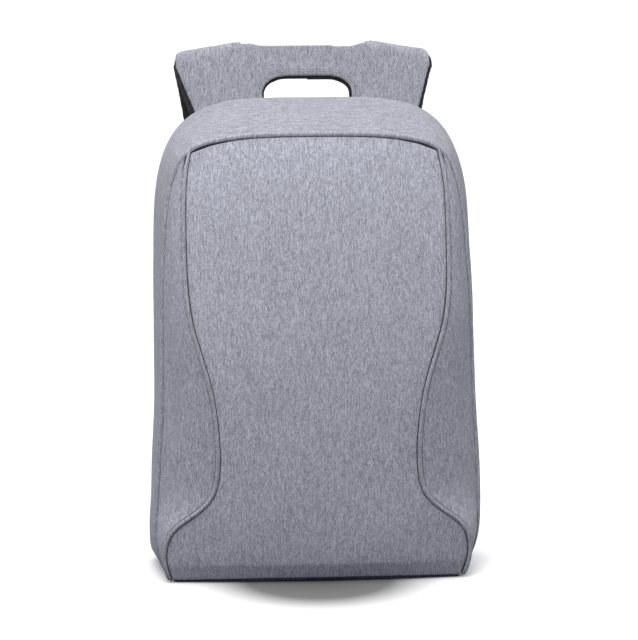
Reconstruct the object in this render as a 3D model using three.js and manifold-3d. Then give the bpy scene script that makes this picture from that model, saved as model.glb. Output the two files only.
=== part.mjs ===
// A slim anti-theft backpack that stands on its base, in millimetres, +Z up.
// It faces -Y, and X runs to the right as seen from the front.
// While it is made, Y is 0 on the back face of the bag and Z is 0 on the floor.
import * as THREE from 'three';
import { mergeVertices } from 'three/addons/utils/BufferGeometryUtils.js';
import Module from 'manifold-3d';

const wasm = await Module();
wasm.setup();

// Bag
const BODY_WIDTH = 294;
const BODY_HEIGHT = 418;
const BODY_DEPTH = 124;
const SEAM_HEIGHT = 389.5;
const SEAM_DEPTH_LOW = 86;
const SEAM_DEPTH_TOP = 79;
const PANEL_WALL = 3;
const PIPING_RADIUS = 2;
const GUSSET_BOW = 3;
const EDGE_RADIUS = 8;
const EDGE_TURN = 12;
const BOTTOM_WALL = 3;
const ZIP_WIDTH = 9;
const ZIP_WALL = 2;
const BACK_WALL = 10;
const BACK_CROWN = 3;
const BACK_RIM = 0.75;
const PIPING_GAP = 0.7;
const GAP = 0.3;

// Harness
const CREST_HEIGHT = 466;
const YOKE_BASE = 381;
const YOKE_LEAN = 17;
const HARNESS_LAYER = 3.8;
const STRAP_WIDTH = 62;
const STRAP_BOW = 29;
const YOKE_FOOT = { left: -99, right: 98 };
const HANDLE_DIP = 4;
const HANDLE_BLEND = { left: 22, right: 15 };
const GRIP_WIDTH = 80;
const GRIP_SHIFT = -0.5;

// Strap ends
const WEBBING_WIDTH = 25;
const WEBBING_WALL = 1.4;
const WEBBING_TAIL = 62;
const BUCKLE_WALL = 3.2;
const BUCKLE_BAR = 4;
const BUCKLE_SLOT = 7;
const BUCKLE_RIM = 3.2;
const TAB_LENGTH = 14;
const TAB_START = 1.5;
const ANCHOR_HEIGHT = 84;
const ANCHOR_WALL = 3.4;
const ANCHOR_REACH = 29;
const ANCHOR_RISE = 16;
const ANCHOR_SEWN = 14;
const ANCHOR_RIM = 3;
const ANCHOR_HALF = 8;
const ANCHOR_PROUD = 1.5;

// Zip slider
const SLIDER_LENGTH = 11;
const SLIDER_WIDTH = 8;
const SLIDER_WALL = 3;
const PULL_LENGTH = 24;
const PULL_WALL = 1.5;
const SLIDER_HEIGHT = 150;

// What rounds off a fold of webbing, and a soft corner of the turned edge.
const FOLD_SOFTNESS = 0.55;
const EDGE_SOFTNESS = 0.3 * EDGE_RADIUS;
const CORD_SIDES = 6;

const HALF_WIDTH = BODY_WIDTH / 2;
const PIPING_ROOM = PIPING_RADIUS + PIPING_GAP;

// The seam around the clamshell, from the floor to its top corner:
// out is a share of half the body's width, up a share of the seam's height.
const SEAM_SIDE = [
  { out: 0.873, up: 0.006 }, { out: 0.898, up: 0.028 }, { out: 0.927, up: 0.058 },
  { out: 0.953, up: 0.09 }, { out: 0.957, up: 0.15 }, { out: 0.949, up: 0.25 },
  { out: 0.928, up: 0.4 }, { out: 0.915, up: 0.628 }, { out: 0.9, up: 0.746 },
  { out: 0.882, up: 0.82 }, { out: 0.855, up: 0.88 }, { out: 0.815, up: 0.935 },
  { out: 0.745, up: 0.97 },
];
const SEAM_TOP_POWER = 3.8;

// The back outline, from the floor to its top corner, as shares of half the width and the height.
const BACK_SIDE = [
  { out: 0.908, up: 0.006 }, { out: 0.963, up: 0.028 }, { out: 0.982, up: 0.065 },
  { out: 0.986, up: 0.15 }, { out: 0.973, up: 0.348 }, { out: 0.966, up: 0.563 },
  { out: 0.962, up: 0.7 }, { out: 0.949, up: 0.775 }, { out: 0.938, up: 0.82 },
  { out: 0.914, up: 0.862 }, { out: 0.871, up: 0.905 }, { out: 0.829, up: 0.93 },
  { out: 0.783, up: 0.95 },
];
const BACK_TOP_POWER = 5;

// The front, a row for each level: up is a share of the seam's height, piping the half width out to
// the S seam, middle and edge the depths at the centre and at the S seam, as shares of the way from
// the clamshell's seam to the front.
const FRONT_ROWS = [
  { up: 0.006, piping: 0.866, middle: 0.772, edge: 0.56 },
  { up: 0.022, piping: 0.88, middle: 0.864, edge: 0.604 },
  { up: 0.052, piping: 0.896, middle: 0.91, edge: 0.628 },
  { up: 0.083, piping: 0.897, middle: 0.942, edge: 0.646 },
  { up: 0.108, piping: 0.882, middle: 0.962, edge: 0.68 },
  { up: 0.135, piping: 0.828, middle: 0.978, edge: 0.739 },
  { up: 0.16, piping: 0.738, middle: 0.991, edge: 0.81 },
  { up: 0.188, piping: 0.655, middle: 0.997, edge: 0.852 },
  { up: 0.215, piping: 0.616, middle: 1, edge: 0.871 },
  { up: 0.268, piping: 0.596, middle: 1, edge: 0.885 },
  { up: 0.335, piping: 0.6, middle: 0.991, edge: 0.883 },
  { up: 0.41, piping: 0.621, middle: 0.967, edge: 0.863 },
  { up: 0.486, piping: 0.668, middle: 0.925, edge: 0.823 },
  { up: 0.569, piping: 0.738, middle: 0.862, edge: 0.749 },
  { up: 0.649, piping: 0.772, middle: 0.777, edge: 0.65 },
  { up: 0.725, piping: 0.782, middle: 0.673, edge: 0.542 },
  { up: 0.795, piping: 0.78, middle: 0.555, edge: 0.431 },
  { up: 0.86, piping: 0.777, middle: 0.412, edge: 0.301 },
  { up: 0.915, piping: 0.766, middle: 0.242, edge: 0.162 },
  { up: 0.965, piping: 0.738, middle: 0, edge: 0.035 },
];
const FRONT_LEVELS = 26;
const FRONT_COLUMNS = 12;
const CROWN_POWER = 2.4;
const WING_COLUMNS = 5;
const WING_SHOULDER = { out: 0.72, forward: 0.8 };
const WING_TIP = 1.5;

// The two straps where they fold over the crest, as shares of the strap's width: the inner edge's place,
// the width there, and how far the outer end drops.
const STRAPS = [
  { name: 'left', side: -1, inner: 0.93, wide: 1.02, drop: 0.165 },
  { name: 'right', side: 1, inner: 0.828, wide: 1.048, drop: 0.15 },
];

// The outer face of a strap from the yoke over the crest and down behind: up is a share of the crest's
// height, back of the strap's bow behind the yoke's top, shift and width of the strap's width, crest of
// the crest's slope, and turn is how far its outer side is turned up, in degrees.
const STRAP_ROWS = [
  { up: 0.951, back: -0.316, shift: -0.03, width: 0.95, crest: 1, turn: 0 },
  { up: 0.968, back: -0.234, shift: -0.01, width: 0.98, crest: 1, turn: 0 },
  { up: 0.981, back: -0.168, shift: 0, width: 1, crest: 1, turn: 0 },
  { up: 0.995, back: 0.001, shift: 0, width: 1, crest: 1, turn: 0 },
  { up: 1, back: 0.257, shift: 0, width: 1, crest: 1, turn: 0 },
  { up: 0.994, back: 0.546, shift: 0, width: 1, crest: 1, turn: 0 },
  { up: 0.98, back: 0.69, shift: 0, width: 1, crest: 1, turn: 0 },
  { up: 0.958, back: 0.733, shift: -0.02, width: 1, crest: 0.95, turn: 0 },
  { up: 0.917, back: 0.777, shift: -0.08, width: 1, crest: 0.85, turn: 0 },
  { up: 0.853, back: 0.846, shift: -0.16, width: 1, crest: 0.6, turn: 0 },
  { up: 0.779, back: 0.931, shift: -0.22, width: 0.99, crest: 0.3, turn: 0 },
  { up: 0.684, back: 1, shift: -0.24, width: 0.97, crest: 0, turn: 2 },
  { up: 0.599, back: 0.971, shift: -0.2, width: 0.92, crest: 0, turn: 6 },
  { up: 0.524, back: 0.827, shift: -0.1, width: 0.84, crest: 0, turn: 11 },
  { up: 0.461, back: 0.625, shift: 0.04, width: 0.75, crest: 0, turn: 15 },
  { up: 0.416, back: 0.438, shift: 0.16, width: 0.67, crest: 0, turn: 17 },
  { up: 0.395, back: 0.327, shift: 0.22, width: 0.62, crest: 0, turn: 17 },
];
const STRAP_LEVELS = 32;
const STRAP_COLUMNS = 4;
const YOKE_ROWS = 2;
const YOKE_JOINT = 3;
const LEANING_SHARE = 0.5;

// The grip hole: low and high are shares of the yoke's rise, and its corners' roundings are shares of
// its width and height.
const GRIP = { low: 0.241, high: 0.632, across: 0.262, up: 0.44 };

// The top edge between a strap and the handle: away is a share of the blend, dip of the handle's dip.
const BROW = [
  { away: 0.06, dip: 0.1 }, { away: 0.3, dip: 0.45 }, { away: 0.6, dip: 0.85 }, { away: 1, dip: 1 },
];

const LOOKS = {
  heather: { color: 0x9d9dab, roughness: 0.92, metalness: 0 },
  piping: { color: 0x85859a, roughness: 0.85, metalness: 0 },
  base: { color: 0x6c6c7c, roughness: 0.9, metalness: 0 },
  black_mesh: { color: 0x17171a, roughness: 0.95, metalness: 0 },
  webbing: { color: 0x1d1d21, roughness: 0.85, metalness: 0 },
  plastic: { color: 0x141416, roughness: 0.45, metalness: 0 },
  slider: { color: 0x3a3a40, roughness: 0.4, metalness: 0.9 },
};

const lerp = (a, b, t) => a + (b - a) * t;
const point = (x, y, z) => new THREE.Vector3(x, y, z);

// A row between the rows of a table, each column on a smooth curve; t runs from 0 to 1.
function tableAt(rows, t) {
  const place = Math.min(t * (rows.length - 1), rows.length - 1.000001);
  const i = Math.floor(place);
  const f = place - i;
  const near = [i - 1, i, i + 1, i + 2].map((n) => rows[Math.min(Math.max(n, 0), rows.length - 1)]);
  const row = {};
  for (const key of Object.keys(rows[0])) {
    const [a, b, c, d] = near.map((r) => r[key]);
    const bend = 2 * a - 5 * b + 4 * c - d + f * (3 * (b - c) + d - a);
    row[key] = b + 0.5 * f * (c - a + f * bend);
  }
  return row;
}

// The points of a line between two distances from its ends, as many as before, evenly spaced.
function trimLine(line, start, end) {
  const along = [0];
  for (let i = 1; i < line.length; i++) along.push(along[i - 1] + line[i].distanceTo(line[i - 1]));
  const last = along.length - 1;
  return line.map((_, n) => {
    const want = lerp(start, along[last] - end, n / last);
    let i = 0;
    while (i < last - 1 && along[i + 1] < want) i++;
    return line[i].clone().lerp(line[i + 1], (want - along[i]) / (along[i + 1] - along[i]));
  });
}

const transpose = (grid) => grid[0].map((_, c) => grid.map((row) => row[c]));

// Unit normals of a grid, along its column direction crossed with its row direction.
function gridNormals(grid) {
  const last = { row: grid.length - 1, column: grid[0].length - 1 };
  return grid.map((line, r) => line.map((_, c) => {
    const across = grid[r][Math.min(c + 1, last.column)].clone().sub(grid[r][Math.max(c - 1, 0)]);
    const along = grid[Math.min(r + 1, last.row)][c].clone().sub(grid[Math.max(r - 1, 0)][c]);
    return across.cross(along).normalize();
  }));
}

// A closed wall under a grid of points on its outer face, from one depth below it to another.
function sheet(grid, wall, depth = 0) {
  const normals = gridNormals(grid);
  const [rows, columns] = [grid.length, grid[0].length];
  const positions = [];
  for (const layer of [depth, depth + wall]) {
    grid.forEach((line, r) => line.forEach((p, c) => {
      positions.push(...p.clone().addScaledVector(normals[r][c], -layer).toArray());
    }));
  }
  const at = (layer, r, c) => layer * rows * columns + r * columns + c;
  const index = [];
  const quad = (a, b, c, d) => index.push(a, b, c, a, c, d);
  for (let r = 0; r < rows - 1; r++) {
    for (let c = 0; c < columns - 1; c++) {
      quad(at(0, r, c), at(0, r, c + 1), at(0, r + 1, c + 1), at(0, r + 1, c));
      quad(at(1, r, c), at(1, r + 1, c), at(1, r + 1, c + 1), at(1, r, c + 1));
    }
    quad(at(0, r, 0), at(0, r + 1, 0), at(1, r + 1, 0), at(1, r, 0));
    quad(at(0, r + 1, columns - 1), at(0, r, columns - 1), at(1, r, columns - 1), at(1, r + 1, columns - 1));
  }
  for (let c = 0; c < columns - 1; c++) {
    quad(at(0, 0, c + 1), at(0, 0, c), at(1, 0, c), at(1, 0, c + 1));
    quad(at(0, rows - 1, c), at(0, rows - 1, c + 1), at(1, rows - 1, c + 1), at(1, rows - 1, c));
  }
  const geometry = new THREE.BufferGeometry();
  geometry.setAttribute('position', new THREE.Float32BufferAttribute(positions, 3));
  geometry.setIndex(index);
  return geometry;
}

function round(radius, sides) {
  const shape = new THREE.Shape();
  for (let i = 0; i < sides; i++) {
    const turn = (2 * Math.PI * i) / sides;
    shape[i ? 'lineTo' : 'moveTo'](radius * Math.cos(turn), radius * Math.sin(turn));
  }
  return shape.closePath();
}

// A tube with closed ends through a list of points.
function tube(points, radius, steps) {
  const path = new THREE.CatmullRomCurve3(points, false, 'centripetal');
  const options = { steps, bevelEnabled: false, extrudePath: path };
  return new THREE.ExtrudeGeometry(round(radius, CORD_SIDES), options);
}

function toSolid(geometry) {
  const bare = geometry.clone();
  for (const name of ['normal', 'uv']) bare.deleteAttribute(name);
  const merged = mergeVertices(bare, 1e-4);
  return new wasm.Manifold(new wasm.Mesh({
    numProp: 3,
    vertProperties: new Float32Array(merged.attributes.position.array),
    triVerts: new Uint32Array(merged.index.array),
  }));
}

function fromSolid(solid) {
  const mesh = solid.getMesh();
  const geometry = new THREE.BufferGeometry();
  geometry.setAttribute('position', new THREE.BufferAttribute(new Float32Array(mesh.vertProperties), 3));
  geometry.setIndex(Array.from(mesh.triVerts));
  return geometry;
}

const bag = new THREE.Group();

function add(name, geometry, look) {
  const mesh = new THREE.Mesh(geometry, new THREE.MeshStandardMaterial(LOOKS[look]));
  mesh.name = name;
  bag.add(mesh);
  return mesh;
}

// Half an arch from the floor to the middle of its top, as points in the XZ plane.
const TOP_SHARES = [0.88, 0.74, 0.56, 0.34, 0];

function halfArch(side, height, power) {
  const low = side.map((row) => point(row.out * HALF_WIDTH, 0, row.up * height));
  const corner = low[low.length - 1];
  const top = TOP_SHARES.map((share) => {
    return point(share * corner.x, 0, height - (height - corner.z) * share ** power);
  });
  return [...low, ...top];
}

const mirrored = (line) => line.map((p) => point(-p.x, p.y, p.z));

// A whole arch, from the left floor over the top to the right floor, evenly spaced.
function wholeArch(half, steps) {
  const points = [...mirrored(half), ...half.slice(0, -1).reverse()];
  return new THREE.CatmullRomCurve3(points, false, 'centripetal').getSpacedPoints(steps);
}

// The unit direction from an arch towards its inside, at each of its points, and level at its feet.
function inwards(arch) {
  return arch.map((p, i) => {
    const foot = i === 0 || i === arch.length - 1;
    const along = foot ? point(0, 0, -p.x) : arch[i + 1].clone().sub(arch[i - 1]);
    return point(along.z, 0, -along.x).normalize();
  });
}

const ARCH_STEPS = 56;
const CORD_STEPS = 34;
const seamDepth = (z) => lerp(SEAM_DEPTH_LOW, SEAM_DEPTH_TOP, z / SEAM_HEIGHT);
const seamHalf = halfArch(SEAM_SIDE, SEAM_HEIGHT, SEAM_TOP_POWER);
const seamArch = wholeArch(seamHalf, ARCH_STEPS);
for (const p of seamArch) p.y = -seamDepth(p.z);
const backArch = wholeArch(halfArch(BACK_SIDE, BODY_HEIGHT, BACK_TOP_POWER), ARCH_STEPS);
const backInwards = inwards(backArch);

// How far out the clamshell's seam lies on its side at a height.
function seamOutAt(z) {
  const rising = seamArch.slice(ARCH_STEPS / 2).reverse();
  const n = Math.max(1, rising.findIndex((p) => p.z >= z));
  const [low, high] = [rising[n - 1], rising[n]];
  return lerp(low.x, high.x, (z - low.z) / (high.z - low.z));
}

// The front: levels of the panel, with the S seams at its two sides.
const cornerUp = FRONT_ROWS[FRONT_ROWS.length - 1].up;
const levels = Array.from({ length: FRONT_LEVELS + 1 }, (_, i) => tableAt(FRONT_ROWS, i / FRONT_LEVELS));

const frontDepth = (share, z) => lerp(seamDepth(z), BODY_DEPTH, share);

// Where the S seam crosses a level, on the right.
function seamPoint(level) {
  const z = level.up * SEAM_HEIGHT;
  return point(level.piping * HALF_WIDTH, -frontDepth(level.edge, z), z);
}

function frontLine(level) {
  const edge = seamPoint(level);
  const top = (level.up / cornerUp) * SEAM_HEIGHT;
  const middle = point(0, -frontDepth(level.middle, top), top);
  return Array.from({ length: FRONT_COLUMNS + 1 }, (_, c) => {
    const across = (2 * c) / FRONT_COLUMNS - 1;
    const crown = Math.abs(across) ** CROWN_POWER;
    const rise = Math.abs(across) ** SEAM_TOP_POWER;
    return point(across * edge.x, lerp(middle.y, edge.y, crown), lerp(middle.z, edge.z, rise));
  });
}

// A wing between the S seam and the clamshell's seam at one level, from the front backwards.
function wingLine(level) {
  const front = seamPoint(level);
  const back = point(seamOutAt(front.z), -seamDepth(front.z), front.z);
  const shoulder = point(
    lerp(front.x, back.x, WING_SHOULDER.out),
    lerp(back.y, front.y, WING_SHOULDER.forward),
    front.z,
  );
  return new THREE.QuadraticBezierCurve3(front, shoulder, back).getPoints(WING_COLUMNS);
}

const lineLength = (line) => line.slice(1).reduce((sum, p, i) => sum + p.distanceTo(line[i]), 0);

// The room for the piping along each level: more where the S seam runs sideways.
const seamRoom = levels.map((_, i) => {
  const [low, high] = [levels[Math.max(i - 1, 0)], levels[Math.min(i + 1, FRONT_LEVELS)]];
  const sideways = ((high.piping - low.piping) * HALF_WIDTH) / ((high.up - low.up) * SEAM_HEIGHT);
  return PIPING_ROOM * Math.hypot(1, sideways);
});

function addFront() {
  const rows = levels.map((level, i) => trimLine(frontLine(level), seamRoom[i], seamRoom[i]));
  const columns = transpose(rows).map((column) => trimLine(column, 0, PIPING_ROOM));
  add('front_panel', sheet(transpose(columns), PANEL_WALL), 'heather');
  const right = levels.map((level, i) => {
    const line = wingLine(level);
    const wide = lineLength(line) > seamRoom[i] + PIPING_ROOM + WING_TIP;
    return wide ? trimLine(line, seamRoom[i], PIPING_ROOM) : null;
  }).filter(Boolean);
  add('side_panel_right', sheet(right, PANEL_WALL), 'heather');
  add('side_panel_left', sheet(right.map((line) => mirrored(line).reverse()), PANEL_WALL), 'heather');
}

function distanceTo(line, p) {
  const nearest = point(0, 0, 0);
  return Math.min(...line.slice(1).map((end, i) => {
    new THREE.Line3(line[i], end).closestPointToPoint(p, true, nearest);
    return nearest.distanceTo(p);
  }));
}

function addPiping() {
  add('edge_piping', tube(seamArch, PIPING_RADIUS, ARCH_STEPS), 'piping');
  const clear = 2 * PIPING_RADIUS + PIPING_GAP;
  const seam = levels.map(seamPoint);
  const right = seam.filter((p) => distanceTo(seamArch, p) > clear);
  add('front_piping_right', tube(right, PIPING_RADIUS, CORD_STEPS), 'piping');
  add('front_piping_left', tube(mirrored(right), PIPING_RADIUS, CORD_STEPS), 'piping');
}

// The gusset: each line runs from the turned edge at the back to the clamshell's seam.
function addGusset() {
  const lines = backArch.map((back, i) => {
    const seam = seamArch[i];
    const inner = backInwards[i];
    const rim = back.clone().setY(-EDGE_RADIUS);
    const bowed = [0.25, 0.5, 0.75].map((t) => {
      return rim.clone().lerp(seam, t).addScaledVector(inner, -4 * t * (1 - t) * GUSSET_BOW);
    });
    const turned = back.clone().addScaledVector(inner, EDGE_TURN);
    const rounding = back.clone().addScaledVector(inner, EDGE_SOFTNESS).setY(-EDGE_SOFTNESS);
    const flat = back.clone().addScaledVector(inner, EDGE_RADIUS);
    const front = trimLine([rim, ...bowed, seam], 0, PIPING_ROOM);
    return [turned, flat, rounding, ...front];
  });
  add('gusset', sheet(lines, PANEL_WALL), 'heather');
}

// The bottom fills the shell: its sides follow the front's lowest level and the gusset's inner face.
const BOTTOM_SHOULDER = 0.9;

function addBottom() {
  const low = frontLine(levels[0]);
  const room = PANEL_WALL + 2 * GAP;
  const seam = seamArch[ARCH_STEPS];
  const rim = backArch[ARCH_STEPS];
  const reaches = [low[FRONT_COLUMNS].x, seam.x, (seam.x + rim.x) / 2 + GUSSET_BOW, rim.x, rim.x - EDGE_RADIUS];
  const rear = -PANEL_WALL - GAP;
  const lines = low.map((p, c) => {
    const across = (2 * c) / FRONT_COLUMNS - 1;
    const shoulder = lerp(p.y, seam.y, BOTTOM_SHOULDER);
    const depths = [p.y + room, shoulder, (seam.y + rear) / 2, -EDGE_RADIUS, rear];
    return depths.map((y, i) => point(across * (reaches[i] - room), y, 0));
  });
  add('bottom_panel', sheet(lines, BOTTOM_WALL), 'base');
}

// The back face: the zip runs inside the gusset's turned edge, and the padded panel inside the zip.
const BACK_COLUMNS = [1, BACK_RIM, 0.4, 0, -0.4, -BACK_RIM, -1];
const BACK_FOOT = 0.2;

function addBack() {
  const inset = (distance) => backArch.map((p, i) => p.clone().addScaledVector(backInwards[i], distance));
  const zipOuter = inset(EDGE_TURN + GAP);
  const zipInner = inset(EDGE_TURN + GAP + ZIP_WIDTH);
  add('main_zip', sheet(zipOuter.map((p, i) => [zipInner[i], p]), ZIP_WALL), 'webbing');
  const rim = inset(EDGE_TURN + ZIP_WIDTH + 2 * GAP).slice(ARCH_STEPS / 2).reverse();
  const sides = rim.filter((p, i) => p.x > BACK_FOOT * HALF_WIDTH && (i === 0 || p.z > rim[i - 1].z + GAP));
  sides[0].z = BOTTOM_WALL + GAP;
  const lines = sides.map((p) => BACK_COLUMNS.map((across) => {
    const full = Math.max(0, 1 - (across / BACK_RIM) ** 2);
    return point(across * p.x, BACK_CROWN * full * Math.sin(Math.PI * Math.min(1, p.z / YOKE_BASE)), p.z);
  }));
  add('back_panel', sheet(lines, BACK_WALL), 'black_mesh');
}

// The yoke's plane leans back from its lower seam.
const leanSlope = Math.tan(THREE.MathUtils.degToRad(YOKE_LEAN));
const yokeBack = (z) => GAP + (z - YOKE_BASE) * leanSlope;

// The outer face of a strap: lines across it from the yoke over the crest and down behind.
function strapLines(strap) {
  const width = strap.wide * STRAP_WIDTH;
  const drop = strap.drop * STRAP_WIDTH;
  const centre = strap.inner * STRAP_WIDTH + width / 2;
  const slope = Math.atan2(drop, width);
  return Array.from({ length: STRAP_LEVELS + 1 }, (_, i) => {
    const t = i / STRAP_LEVELS;
    const row = tableAt(STRAP_ROWS, t);
    const onYoke = t * (STRAP_ROWS.length - 1) < YOKE_ROWS + 0.01;
    const half = (row.width * width) / 2;
    const tilt = slope * row.crest - THREE.MathUtils.degToRad(row.turn);
    const bow = yokeBack(CREST_HEIGHT) + row.back * STRAP_BOW;
    const line = Array.from({ length: STRAP_COLUMNS + 1 }, (_, c) => {
      const across = (2 * c) / STRAP_COLUMNS - 1;
      const out = centre + row.shift * STRAP_WIDTH + across * half * Math.cos(tilt);
      const fall = across * half * Math.sin(tilt);
      const z = row.up * CREST_HEIGHT - drop / 2 - fall;
      const leaning = fall * leanSlope * Math.max(0, 1 - t / LEANING_SHARE);
      return point(strap.side * out, onYoke ? yokeBack(z) : bow - leaning, z);
    });
    return strap.side > 0 ? line : line.reverse();
  });
}

// The yoke's outline in its own plane, with the grip hole, between the first lines of the two straps.
// Its top edge comes down from each strap's crest to the handle between them.
function yokeShape([left, right]) {
  const up = (z) => (z - YOKE_BASE) / Math.cos(THREE.MathUtils.degToRad(YOKE_LEAN));
  const handleTop = CREST_HEIGHT - HANDLE_DIP;
  const last = STRAP_COLUMNS;
  const brow = (side, blend) => BROW.map(({ away, dip }) => {
    return [side + Math.sign(-side) * away * blend, lerp(CREST_HEIGHT, handleTop, dip)];
  });
  const outline = [
    [YOKE_FOOT.left, YOKE_BASE], [YOKE_FOOT.right, YOKE_BASE],
    [right[0][last].x, right[0][last].z], [right[YOKE_JOINT][last].x, right[YOKE_JOINT][last].z],
    [right[YOKE_JOINT][0].x, right[YOKE_JOINT][0].z],
    ...brow(right[YOKE_JOINT][0].x, HANDLE_BLEND.right),
    ...brow(left[YOKE_JOINT][last].x, HANDLE_BLEND.left).reverse(),
    [left[YOKE_JOINT][last].x, left[YOKE_JOINT][last].z],
    [left[YOKE_JOINT][0].x, left[YOKE_JOINT][0].z], [left[0][0].x, left[0][0].z],
  ];
  const shape = new THREE.Shape();
  outline.forEach(([x, z], i) => shape[i ? 'lineTo' : 'moveTo'](x, up(z)));
  shape.closePath();
  const grip = new THREE.Path();
  const [floor, ceiling] = [GRIP.low, GRIP.high].map((share) => up(lerp(YOKE_BASE, CREST_HEIGHT, share)));
  const [across, rise] = [GRIP.across * GRIP_WIDTH, GRIP.up * (ceiling - floor)];
  const reach = GRIP_WIDTH / 2 - across;
  const [low, high] = [floor + rise, ceiling - rise];
  const corners = [[reach, low, 1.5], [reach, high, 0], [-reach, high, 0.5], [-reach, low, 1]];
  for (const [x, y, turn] of corners) {
    grip.absellipse(GRIP_SHIFT + x, y, across, rise, turn * Math.PI, (turn + 0.5) * Math.PI);
  }
  grip.closePath();
  shape.holes.push(grip);
  return shape;
}

// One layer of the harness, from one depth below its outer face: the yoke joined with both straps.
function harnessLayer(straps, depth) {
  const lean = THREE.MathUtils.degToRad(YOKE_LEAN);
  const plate = new THREE.ExtrudeGeometry(yokeShape(straps), {
    depth: HARNESS_LAYER, bevelEnabled: false, curveSegments: 5,
  });
  plate.translate(0, 0, -HARNESS_LAYER - depth);
  plate.applyMatrix4(new THREE.Matrix4().makeBasis(
    point(1, 0, 0),
    point(0, Math.sin(lean), Math.cos(lean)),
    point(0, -Math.cos(lean), Math.sin(lean)),
  ).setPosition(0, GAP, YOKE_BASE));
  let solid = toSolid(plate);
  for (const lines of straps) solid = solid.add(toSolid(sheet(lines, HARNESS_LAYER, depth)));
  return fromSolid(solid);
}

// A ribbon's outline, half its wall to each side of its path in a plane.
function ribbonShape(path, wall) {
  const points = path.map(([x, y]) => new THREE.Vector2(x, y));
  const side = (sign) => points.map((p, i) => {
    const before = p.clone().sub(points[Math.max(i - 1, 0)]).normalize();
    const after = points[Math.min(i + 1, points.length - 1)].clone().sub(p).normalize();
    const along = before.clone().add(after).normalize();
    const mitre = wall / 2 / Math.max(0.5, along.dot(i ? before : after));
    return new THREE.Vector2(p.x - sign * along.y * mitre, p.y + sign * along.x * mitre);
  });
  return new THREE.Shape([...side(1), ...side(-1).reverse()]);
}

const extrude = (shape, depth) => {
  return new THREE.ExtrudeGeometry(shape, { depth, bevelEnabled: false }).translate(0, 0, -depth / 2);
};

function rectangle(x0, y0, x1, y1) {
  return new THREE.Shape([[x0, y0], [x1, y0], [x1, y1], [x0, y1]].map(([x, y]) => new THREE.Vector2(x, y)));
}

function addRibbon(name, path, place) {
  const ribbon = extrude(ribbonShape(path, WEBBING_WALL), WEBBING_WIDTH);
  add(name, ribbon.applyMatrix4(place), 'webbing');
}

// The end of a strap: its tab round the buckle, the webbing through the buckle, and the anchor tab.
function addStrapEnd(strap, lines) {
  const line = lines[STRAP_LEVELS];
  const centre = line[STRAP_COLUMNS / 2];
  const normal = gridNormals(lines)[STRAP_LEVELS][STRAP_COLUMNS / 2];
  const start = centre.clone().addScaledVector(normal, -HARNESS_LAYER - GAP / 2);
  const lying = GAP + ANCHOR_WALL + GAP + WEBBING_WALL / 2;
  const target = point(strap.side * (HALF_WIDTH - ANCHOR_REACH), lying, ANCHOR_HEIGHT + ANCHOR_RISE);
  const along = target.clone().sub(start).normalize();
  const lateral = along.clone().cross(point(0, 1, 0)).normalize();
  const out = lateral.clone().cross(along);
  const side = new THREE.Matrix4().makeBasis(along, out, lateral).setPosition(start);
  const flat = new THREE.Matrix4().makeBasis(along, lateral, out.clone().negate()).setPosition(start);

  const lift = BUCKLE_WALL / 2 + GAP + WEBBING_WALL / 2;
  const turn = GAP + WEBBING_WALL / 2;
  const bar = [0, 1, 2].map((n) => TAB_LENGTH + n * (BUCKLE_BAR + BUCKLE_SLOT));
  const soft = FOLD_SOFTNESS;
  const tab = [
    [TAB_START, lift], [bar[0] + BUCKLE_BAR + turn - soft, lift],
    [bar[0] + BUCKLE_BAR + turn, lift - soft], [bar[0] + BUCKLE_BAR + turn, soft - lift],
    [bar[0] + BUCKLE_BAR + turn - soft, -lift], [TAB_START, -lift],
  ];
  addRibbon(`strap_tab_${strap.name}`, tab, side);

  const rim = WEBBING_WIDTH / 2 + GAP;
  const plate = rectangle(bar[0], -rim - BUCKLE_RIM, bar[2] + BUCKLE_BAR, rim + BUCKLE_RIM);
  let buckle = toSolid(extrude(plate, BUCKLE_WALL));
  for (const low of [bar[0], bar[1]]) {
    const slot = rectangle(low + BUCKLE_BAR, -rim, low + BUCKLE_BAR + BUCKLE_SLOT, rim);
    buckle = buckle.subtract(toSolid(extrude(slot, 2 * BUCKLE_WALL)));
  }
  add(`strap_adjuster_${strap.name}`, fromSolid(buckle).applyMatrix4(flat), 'plastic');

  const slope = -along.y;
  const level = out.y;
  const bend = (start.y + lift * level - lying) / slope;
  const up = { before: bar[1] - turn, after: bar[1] + BUCKLE_BAR + turn };
  const tail = lift + WEBBING_WALL + GAP;
  const webbing = [
    [bend + ANCHOR_SEWN * level, lift + ANCHOR_SEWN * slope], [bend, lift],
    [up.after + soft, lift], [up.after, lift - soft], [up.after, soft - lift],
    [up.after - soft, -lift], [up.before + soft, -lift], [up.before, soft - lift],
    [up.before, tail - soft], [up.before + soft, tail], [up.before + WEBBING_TAIL, tail],
  ];
  addRibbon(`webbing_${strap.name}`, webbing, side);

  const foot = start.clone().addScaledVector(along, bend).addScaledVector(out, lift);
  const down = along.clone().setY(0).normalize();
  const half = WEBBING_WIDTH / 2 + ANCHOR_RIM;
  const inner = foot.clone().addScaledVector(down, ANCHOR_RIM / 2);
  const outer = strap.side * (HALF_WIDTH + ANCHOR_PROUD);
  const away = lateral.clone().multiplyScalar(strap.side * half);
  const corners = [
    inner.clone().add(away), point(outer, 0, ANCHOR_HEIGHT + ANCHOR_HALF),
    point(outer, 0, ANCHOR_HEIGHT - ANCHOR_HALF),
    inner.clone().sub(away).addScaledVector(down, ANCHOR_SEWN), inner.clone().sub(away),
  ];
  const patch = new THREE.Shape(corners.map((p) => new THREE.Vector2(p.x, p.z)));
  const anchor = new THREE.ExtrudeGeometry(patch, { depth: ANCHOR_WALL, bevelEnabled: false });
  anchor.rotateX(Math.PI / 2).translate(0, GAP + ANCHOR_WALL, 0);
  add(`anchor_tab_${strap.name}`, anchor, 'webbing');
}

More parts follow.
